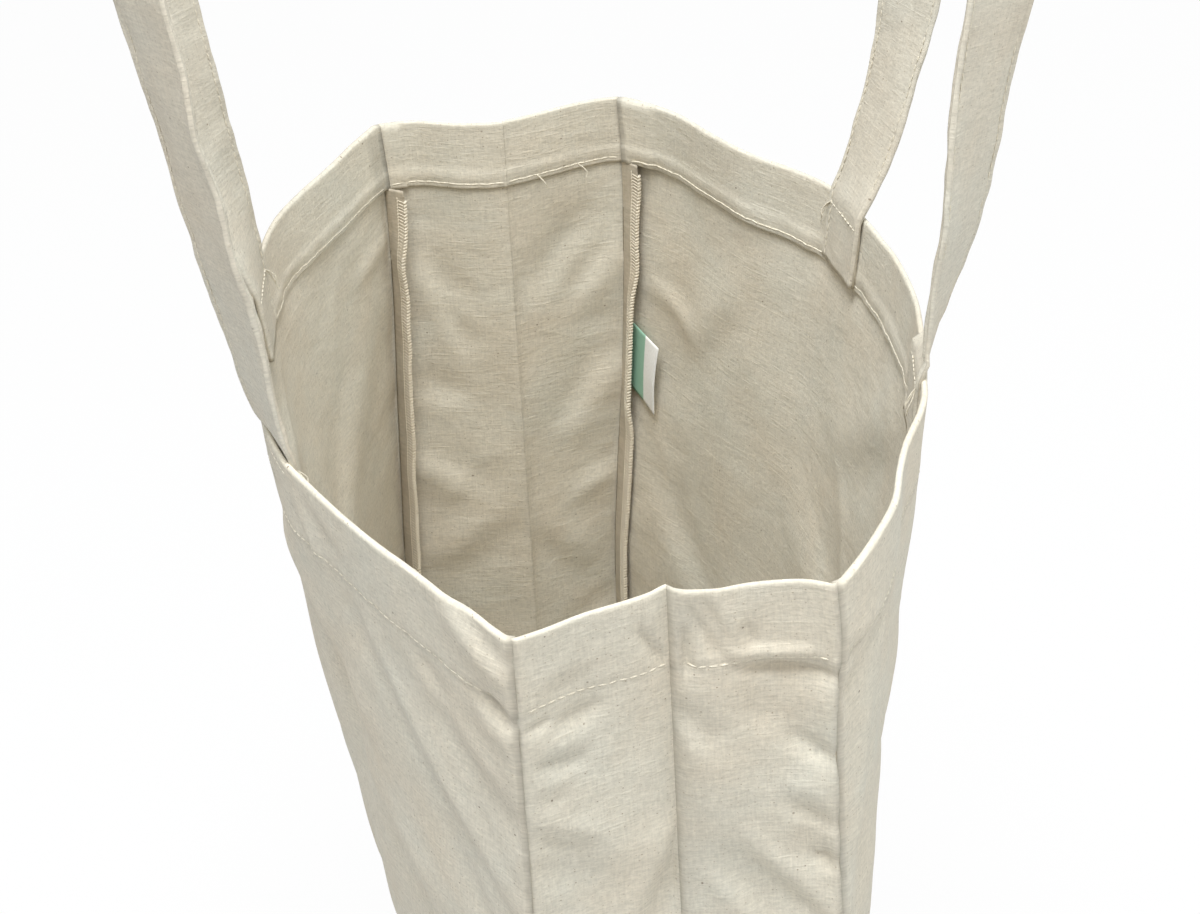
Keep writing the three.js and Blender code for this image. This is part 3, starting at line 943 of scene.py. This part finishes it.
for end_name, end in ends:
    for wall, side in walls:
        bm = cloth_grid(8, 170)
        for vertex in bm.verts:
            u = -allowance_root + (allowance + allowance_root) * share_of(vertex.co.x)
            z = allowance_low + (allowance_high - allowance_low) * share_of(vertex.co.y)
            vertex.co = allowance_point(end, side, u, z, -ply / 2)
        lay_out(bm, lambda vertex: (
            math.hypot(vertex.co.x - end * fold_axis_x, vertex.co.y) + 5.0, vertex.co.z
        ))
        if end > 0:
            bmesh.ops.reverse_faces(bm, faces=bm.faces)
        bmesh.ops.solidify(bm, geom=bm.faces[:], thickness=-ply)
        bmesh.ops.recalc_face_normals(bm, faces=bm.faces)
        beads = overlock_stitches(
            lambda s, proud: allowance_point(end, side, allowance, thread_start + s, proud),
            lambda s, proud: allowance_point(end, side, allowance - thread_inset, thread_start + s, proud),
            0.0014,
            275,
            ply,
            95.0 + end + 2 * side,
        )
        corner = overlocked_piece(f"{wall}_{end_name}_allowance", bm, beads)
        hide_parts(f"{wall}_{end_name}_corner_seam")
        if side > 0:
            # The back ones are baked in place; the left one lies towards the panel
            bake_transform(corner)
        else:
            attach(corner, f"{end_name}_gusset_front")
        if (end, side) == (-1, -1):
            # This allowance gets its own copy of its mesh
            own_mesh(corner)


# Bottom seams: the long edges of the bottom panel and the walls, overlocked together in the
# same way and turned up inside against the panels, between the corner seams.
def bottom_allowance_point(side, share, z, proud):
    """A point of a bottom allowance, proud metres inwards of its middle surface."""
    lift = 0.0009 * (1.0 + soft_noise(share * 9.0, 0.0, 101.0 + side))
    lift *= max(0.0, (z - 0.0014) / 0.008)
    return panel_point(side, share, z, 0.0019 + lift + proud)


for wall, side in walls:
    bm = cloth_grid(120, 5)
    for vertex in bm.verts:
        share = 0.93 * vertex.co.x
        z = 0.0024 + 0.0068 * share_of(vertex.co.y)
        vertex.co = bottom_allowance_point(side, share, z, -0.0005)
    lay_out(bm, lambda vertex: (vertex.co.x, vertex.co.z + 6.0))
    if side > 0:
        bmesh.ops.reverse_faces(bm, faces=bm.faces)
    bmesh.ops.solidify(bm, geom=bm.faces[:], thickness=0.0010)
    bmesh.ops.recalc_face_normals(bm, faces=bm.faces)
    beads = overlock_stitches(
        lambda s, proud: bottom_allowance_point(side, -0.925 + s / base_half_length, 0.0092, proud),
        lambda s, proud: bottom_allowance_point(side, -0.925 + s / base_half_length, 0.0062, proud),
        0.0024,
        145,
        0.0010,
        103.0 + side,
    )
    low_seam = overlocked_piece(f"{wall}_bottom_allowance", bm, beads)
    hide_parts(f"{wall}_bottom_seam")
    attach(low_seam, f"{wall}_side")


# Handles: two straps of the same cotton, cut 62 mm wide, folded to 30 mm with the edges
# turned in and topstitched along both sides. Each leg's end is sewn to the inner face of the
# hem, rises over the rim with a slow quarter turn, and meets the other leg in a round arch.
strap_half_width = 0.015
strap_half_thickness = 0.00085
strap_centre = 0.0573
leg_length = 0.240
handle_lean = math.radians(10.0)
strap_depth = 0.0031

strap_cotton = cotton_cloth(
    "strap_cotton",
    colour=(0.64, 0.585, 0.48),
    warm=(0.65, 0.58, 0.465),
    cool=(0.64, 0.605, 0.51),
    fleck_amount=0.9,
)

# Each leg by its length from the rim in mm: how far out it stands, and how far it has twisted
leg_stance = {
    (-1, 1): (
        (0, 0.0), (4, 1.8), (10, 3.2), (20, 4.9), (35, 7.0), (50, 9.2), (65, 11.6), (80, 13.9),
        (110, 18.1), (140, 21.7), (170, 26.5), (200, 31.9), (240, 39.2), (285, 46.9), (330, 50.3),
    ),
    (-1, -1): (
        (0, 0.0), (10, 2.2), (20, 4.8), (35, 8.6), (50, 12.3), (65, 15.2), (80, 17.6), (110, 21.9),
        (140, 26.2), (170, 30.7), (200, 35.3), (240, 41.3), (285, 47.4), (330, 50.3),
    ),
    (1, 1): (
        (0, 0.0), (4, 3.2), (10, 5.0), (20, 6.9), (35, 10.0), (50, 12.7), (65, 15.0), (80, 17.0),
        (110, 21.1), (140, 25.2), (170, 29.3), (200, 33.6), (240, 39.8), (285, 46.8), (330, 49.5),
    ),
    (1, -1): (
        (0, 0.0), (10, 4.4), (20, 8.0), (35, 12.4), (50, 16.4), (65, 20.0), (80, 22.8), (110, 27.0),
        (140, 30.2), (170, 32.8), (200, 35.4), (240, 38.6), (285, 42.2), (330, 43.9),
    ),
}
leg_twist = {
    (-1, 1): (
        (-27, 11), (-12, 11), (0, 13), (10, 17), (20, 21), (35, 24), (50, 25), (80, 24), (110, 25),
        (140, 29), (170, 36), (200, 47), (240, 65), (285, 82), (330, 90),
    ),
    (-1, -1): (
        (-27, 6), (-12, 6), (0, 8), (10, 14), (20, 22), (50, 43), (80, 53), (110, 59), (140, 64),
        (170, 69), (200, 74), (240, 80), (285, 87), (330, 90),
    ),
    (1, 1): (
        (-27, 13), (-12, 13), (0, 15), (4, 21), (10, 26), (20, 31), (35, 38), (50, 43), (80, 49),
        (110, 55), (140, 60), (170, 64), (200, 69), (240, 76), (285, 86), (330, 90),
    ),
    (1, -1): (
        (-27, 5), (-12, 5), (0, 5), (10, 7), (20, 9), (35, 13), (50, 16), (65, 20), (80, 26), (110, 38),
        (140, 48), (170, 57), (200, 66), (240, 76), (285, 86), (330, 90),
    ),
}


def leg_centre(side, hand, s):
    """Centre line of a leg (side -1 front or 1 back, hand -1 left or 1 right) at a length s
    above the rim; below 0 it lies on the inner face of the hem."""
    z = bag_height + min(s, 0.0)
    share = hand * strap_centre / seam_x(z)
    y = base_half_depth + mouth_bow(side, share, z) - strap_depth
    if s <= 0.0:
        return Vector((strap_centre, y, z))
    turn = max(0.0, s - leg_length) / strap_centre
    length = min(s, leg_length) + strap_centre * math.sin(turn)
    out = through_stations(leg_stance[(side, hand)], s * 1000.0) / 1000.0
    return Vector((strap_centre * math.cos(turn), y + out, bag_height + length * math.cos(handle_lean)))


def leg_frame(side, hand, s):
    """Centre, width direction and face direction of a leg, all as if it stood on the right."""
    step = 0.0015
    centre = leg_centre(side, hand, s)
    low = min(s - step, 0.3298 - step)
    along = (leg_centre(side, hand, low + 2 * step) - leg_centre(side, hand, low)).normalized()
    twist = math.radians(through_stations(leg_twist[(side, hand)], s * 1000.0))
    inward = Vector((0.0, -math.cos(handle_lean), math.sin(handle_lean)))
    width = Vector((math.cos(twist), 0.0, 0.0)) + inward * math.sin(twist)
    width = (width - along * width.dot(along)).normalized()
    return centre, width, along.cross(width)


def strap_place(side, s, total):
    """Frame at a length s from the lower end of the right-hand leg to that of the left-hand."""
    sewn = bag_height - stitch_height + 0.0003
    hand = 1 if s <= total / 2 else -1
    centre, width, through = leg_frame(side, hand, (s if hand > 0 else total - s) - sewn)
    if hand < 0:
        centre.x, width.x, through.x = -centre.x, -width.x, -through.x
    return centre, width, through


strap_total = 2 * (leg_length + bag_height - stitch_height + 0.0003) + math.pi * strap_centre
strap_rows = 340
around = 52
topstitch_share = 0.15


def strap_sway(across, s, seed):
    """How far a strap waves off its middle surface, and how free it hangs there."""
    free = smoothstep(0.030, 0.050, s) * smoothstep(0.030, 0.050, strap_total - s)
    sway = 0.0013 * soft_noise(across * 0.5, s / 0.050, seed + 3.0) * free
    sway += 0.0011 * soft_noise(across, s / 0.019, seed + 4.0) * (0.25 + 0.75 * free) * abs(across)
    return sway, free


def hold_below_rim(piece):
    """Bakes a strap's transform into its mesh, in one piece."""
    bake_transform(piece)


for wall, side in walls:
    bm = cloth_grid(around, strap_rows)
    flat_place = {}
    seed = 61.0 + 7.0 * side
    for vertex in bm.verts:
        column = round(share_of(vertex.co.x) * around)
        row = round(share_of(vertex.co.y) * strap_rows)
        turn = 2.0 * math.pi * column / around
        s = strap_total * row / strap_rows
        across = math.cos(turn)
        across = math.copysign(abs(across) ** 0.8, across)
        face_side = 1.0 if math.sin(turn) >= 0.0 else -1.0
        edge = 1.0 - abs(across)
        height = strap_half_thickness * math.sqrt(max(0.0, 1.0 - max(0.0, 1.0 - edge / 0.06) ** 2))
        swell = 0.00042 * math.exp(-((edge - 0.07) / 0.05) ** 2)
        ditch = 0.00038 * math.exp(-((edge - topstitch_share) / 0.028) ** 2)
        pucker = 0.00055 * soft_noise(across * 1.4, s / 0.0075, seed + face_side) * math.exp(-edge / 0.25)
        pucker += 0.00050 * soft_noise(across * 2.2, s / 0.021, seed + 9.0 + face_side)
        height += (swell - ditch) * min(1.0, edge / 0.05) + pucker * min(1.0, edge / 0.04)
        centre, width, through = strap_place(side, s, strap_total)
        sway, free = strap_sway(across, s, seed)
        wander = 0.0009 * soft_noise(0.0, s / 0.040, seed + 5.0 + 2.0 * (across > 0.0)) * free
        fray = 0.00040 * soft_noise(0.0, s / 0.008, seed + 6.0 + 2.0 * (across > 0.0))
        half_width = strap_half_width + (wander + fray) * abs(across)
        place = centre + width * (across * half_width) + through * (face_side * height + sway)
        vertex.co = (place.x, side * place.y, place.z)
        along_flat = 3.0 + side * 0.4 + face_side * (0.05 + across * strap_half_width)
        flat_place[vertex.index] = (along_flat, s)
    lay_out(bm, lambda vertex: flat_place[vertex.index])
    bmesh.ops.remove_doubles(bm, verts=bm.verts, dist=0.00001)
    bmesh.ops.holes_fill(bm, edges=[edge for edge in bm.edges if edge.is_boundary], sides=0)
    bmesh.ops.recalc_face_normals(bm, faces=bm.faces)
    strap = cloth_piece(f"{wall}_handle_cloth", bm, None, strap_cotton)
    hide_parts(f"{wall}_handle_strap", f"{wall}_handle_left_end", f"{wall}_handle_right_end")
    hold_below_rim(strap)

    # Topstitching: a row of small stitches along both edges, showing on both faces
    beads = []
    stitch_count = round(strap_total / 0.0033)
    for edge_side in (1.0, -1.0):
        for face_side in (1.0, -1.0):
            for i in range(stitch_count):
                thread_ends = []
                for part in (0.10, 0.90):
                    s = strap_total * (i + part) / stitch_count
                    across = edge_side * (1.0 - topstitch_share)
                    sway, _ = strap_sway(across, s, seed)
                    centre, width, through = strap_place(side, s, strap_total)
                    height = face_side * (strap_half_thickness - 0.00020)
                    place = centre + width * (across * strap_half_width) + through * (height + sway)
                    thread_ends.append(Vector((place.x, side * place.y, place.z)))
                out = through * face_side
                out.y *= side
                beads.append(stitch(thread_ends[0], thread_ends[1], out, 0.00024, 0.00024))
    topstitching = cloth_piece(f"{wall}_handle_topstitching", sew(beads), None, cream_thread)
    hold_below_rim(topstitching)


# Strap tacking: each strap end is sewn to the hem with a row of lockstitch just below the rim,
# inside on the strap and outside on the panel, and its thread ends were left long.
tack_height = 0.4157
tack_half_width = 0.0133
tack_stitches = 9
tack_s = -0.0043
tack_face = strap_half_thickness + 0.00005


def strap_face(side, hand, across, s, height):
    """A point on the inner face of a sewn strap end, across metres from its centre line."""
    centre, width, through = leg_frame(side, hand, s)
    place = centre + width * across - through * height
    if through.y < 0.0:
        place = centre + width * across + through * height
    return Vector((hand * place.x, side * place.y, place.z))


for wall, side in walls:
    for hand_name, hand in ends:
        beads = []
        for i in range(tack_stitches):
            low = tack_half_width * (-1.0 + 2.0 * (i + 0.08) / tack_stitches)
            high = tack_half_width * (-1.0 + 2.0 * (i + 0.92) / tack_stitches)
            first = strap_face(side, hand, low, tack_s, tack_face)
            second = strap_face(side, hand, high, tack_s, tack_face)
            lifted = strap_face(side, hand, (low + high) / 2, tack_s, strap_half_thickness + 0.001)
            beads.append(stitch(first, second, (lifted - first).normalized(), 0.00032, 0.00028))
            share_low = hand * (strap_centre + low) / seam_x(tack_height)
            share_high = hand * (strap_centre + high) / seam_x(tack_height)
            first = panel_point(side, share_low, tack_height, -0.00002)
            second = panel_point(side, share_high, tack_height, -0.00002)
            lifted = panel_point(side, (share_low + share_high) / 2, tack_height, -0.001)
            beads.append(stitch(first, second, (lifted - first).normalized(), 0.00026, 0.00022))
        start = strap_face(side, hand, 0.0128, tack_s, strap_half_thickness + 0.0001)
        for tail in range(3):
            reach = Vector((hand * (0.0010 + 0.0006 * tail), -side * 0.0030, -0.0016 - 0.0018 * tail))
            droop = Vector((0.0, -side * 0.0006, -0.0042))
            beads += loose_end(start, reach, droop, 7.0 * tail + hand + 2.0 * side)
        tack = cloth_piece(f"{wall}_{hand_name}_strap_tacking", sew(beads), None, cream_thread)
        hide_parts(f"{wall}_handle_{hand_name}_tack")
        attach(tack, f"{wall}_side")


# Care label: a strip of smooth white woven tape caught in the back left corner seam, standing
# into the bag beside the back panel. It is left unprinted but for a plain green band.
label_low, label_high = 0.2885, 0.3190
label_reach = 0.0225
label_root = 0.0010


def label_point(reach, z):
    """A point of the label, reach metres from the seam: its top slants, and it curls a little."""
    rise_share = (z - label_low) / (label_high - label_low)
    turn = math.radians(24.6 - 2.8 * (1.0 - rise_share) * smoothstep(0.009, label_reach, reach))
    curl = 0.0010 * math.sin(rise_share * math.pi) * smoothstep(0.006, label_reach, reach)
    _, backwards = seam_shift(-1, 1, z)
    x = -(seam_x(z) - 0.0010) + reach * math.cos(turn)
    y = seam_pivot_y + 0.0012 + backwards + reach * math.sin(turn) - curl
    slant = (0.0078 - 0.0016 * rise_share) * reach / label_reach
    return Vector((x, y, z - slant))


label_tape = bpy.data.materials.new("white_label_tape")
label_tape.use_nodes = True
nodes = label_tape.node_tree.nodes
uv_map = nodes.new("ShaderNodeUVMap")
uv_map.uv_map = "cloth"
place = uv_map.outputs["UV"]
split = set_inputs(nodes.new("ShaderNodeSeparateXYZ"), {"Vector": place})
band = nodes.new("ShaderNodeMapRange")
band.interpolation_type = "SMOOTHSTEP"
set_inputs(band, {"Value": split.outputs["X"], "From Min": 0.0133, "From Max": 0.0140})
set_inputs(band, {"To Min": 0.80, "To Max": 0.0})
tape_noise = noise_texture(nodes, place, (2600.0, 900.0, 1.0), 2.0)
white = two_tones(nodes, tape_noise, 0.3, (0.80, 0.79, 0.75), 0.7, (0.90, 0.89, 0.86))
tinted = nodes.new("ShaderNodeMix")
tinted.data_type = "RGBA"
set_inputs(tinted, {0: band.outputs["Result"], 6: white, 7: (0.16, 0.42, 0.27)})
set_inputs(nodes["Principled BSDF"], {
    "Base Color": tinted.outputs[2],
    "Roughness": 0.55,
    "Specular IOR Level": 0.35,
    "Normal": bump_node(nodes, 0.25, 0.0002, tape_noise).outputs["Normal"],
})

bm = cloth_grid(18, 24)
label_uv = {}
for vertex in bm.verts:
    reach = label_root + (label_reach - label_root) * share_of(vertex.co.x)
    z = label_low + (label_high - label_low) * share_of(vertex.co.y)
    label_uv[vertex.index] = (reach, z)
    vertex.co = label_point(reach, z)
lay_out(bm, lambda vertex: label_uv[vertex.index])
label = cloth_piece("care_label_tape", bm, 0.0003, label_tape)
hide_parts("care_label")
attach(label, "care_label")


# Floor: a plain pale sheet that the bag stands on, white to the camera but for the shadow
# that the bag throws on it. It isn't part of the bag.
bm = bmesh.new()
bmesh.ops.create_grid(bm, x_segments=2, y_segments=2, size=6.0)
floor_mesh = bpy.data.meshes.new("studio_floor")
bm.to_mesh(floor_mesh)
bm.free()
studio_floor = bpy.data.objects.new("studio_floor", floor_mesh)
bpy.context.scene.collection.objects.link(studio_floor)
floor_paint = bpy.data.materials.new("studio_floor")
floor_paint.use_nodes = True
nodes = floor_paint.node_tree.nodes
nodes.clear()
floor_diffuse = set_inputs(nodes.new("ShaderNodeBsdfDiffuse"), {"Color": (0.86, 0.86, 0.86)})
floor_glow = set_inputs(nodes.new("ShaderNodeEmission"), {"Color": (1.0, 1.0, 1.0), "Strength": 1.0})
ray = nodes.new("ShaderNodeLightPath").outputs
seen = math_node(nodes, "MAXIMUM", ray["Is Camera Ray"], ray["Is Glossy Ray"])
seen = math_node(nodes, "MAXIMUM", seen, ray["Is Transmission Ray"])
floor_mix = set_inputs(nodes.new("ShaderNodeMixShader"), {
    "Fac": math_node(nodes, "MULTIPLY", seen, 0.955),
    1: floor_diffuse.outputs["BSDF"],
    2: floor_glow.outputs["Emission"],
})
set_inputs(nodes.new("ShaderNodeOutputMaterial"), {"Surface": floor_mix.outputs["Shader"]})
floor_mesh.materials.append(floor_paint)


# Studio light: a pale room and four soft boxes. A small cool one hangs over the near gusset, a
# weak warm one stands beyond it, and one stands off each panel, the stronger off the back
# panel. None of it is part of the bag.
studio = bpy.data.worlds.new("studio_room")
bpy.context.scene.world = studio
studio.use_nodes = True
nodes = studio.node_tree.nodes
nodes.clear()
room_light = nodes.new("ShaderNodeBackground")
set_inputs(room_light, {"Color": (0.97, 0.985, 1.0), "Strength": 0.36})
white_backdrop = nodes.new("ShaderNodeBackground")
set_inputs(white_backdrop, {"Color": (1.0, 1.0, 1.0), "Strength": 1.0})
world_mix = set_inputs(nodes.new("ShaderNodeMixShader"), {
    "Fac": nodes.new("ShaderNodeLightPath").outputs["Is Camera Ray"],
    1: room_light.outputs["Background"],
    2: white_backdrop.outputs["Background"],
})
set_inputs(nodes.new("ShaderNodeOutputWorld"), {"Surface": world_mix.outputs["Shader"]})

for name, spot, aim, size, power, colour in (
    ("overhead_softbox", (0.37, -0.13, 1.74), (-0.02, 0.0, 0.33), 0.7, 28.5, (0.93, 0.965, 1.0)),
    ("key_softbox", (1.50, 0.45, 1.50), (0.0, 0.0, 0.33), 0.8, 6.3, (1.0, 0.975, 0.925)),
    ("left_softbox", (0.0, -1.45, 1.30), (0.0, 0.0, 0.33), 1.0, 3.0, (1.0, 0.98, 0.93)),
    ("right_softbox", (0.10, 1.45, 1.30), (0.0, 0.0, 0.33), 1.0, 7.2, (0.92, 0.985, 1.0)),
):
    lamp_data = bpy.data.lights.new(name, "AREA")
    lamp_data.shape = "SQUARE"
    lamp_data.size = size
    lamp_data.energy = power
    lamp_data.color = colour
    lamp = bpy.data.objects.new(name, lamp_data)
    bpy.context.scene.collection.objects.link(lamp)
    lamp.location = spot
    lamp.rotation_euler = (Vector(aim) - Vector(spot)).to_track_quat("-Z", "Y").to_euler()

# Camera: the photograph looks steeply down from beyond the right gusset into the open mouth.
focal_pixels = 2569.98
azimuth, pitch, roll = math.radians(-8.391), math.radians(31.661), math.radians(-3.12)
forward = Vector((
    -math.cos(azimuth) * math.cos(pitch), -math.sin(azimuth) * math.cos(pitch), -math.sin(pitch)
))
level = forward.cross(Vector((0.0, 0.0, 1.0))).normalized()
rise = level.cross(forward)
right = level * math.cos(roll) + rise * math.sin(roll)
above = rise * math.cos(roll) - level * math.sin(roll)
camera_data = bpy.data.cameras.new("photograph_view")
camera_data.sensor_fit = "HORIZONTAL"
camera_data.sensor_width = 36.0
camera_data.lens = 36.0 * focal_pixels / 1200.0
camera_data.clip_start = 0.01
camera_data.clip_end = 50.0
camera = bpy.data.objects.new("photograph_view", camera_data)
bpy.context.scene.collection.objects.link(camera)
camera.matrix_world = Matrix((
    (right.x, above.x, -forward.x, 0.758600),
    (right.y, above.y, -forward.y, -0.104663),
    (right.z, above.z, -forward.z, 0.835654),
    (0.0, 0.0, 0.0, 1.0),
))
bpy.context.scene.camera = camera
bpy.context.scene.view_settings.view_transform = "Standard"

bpy.context.view_layer.update()
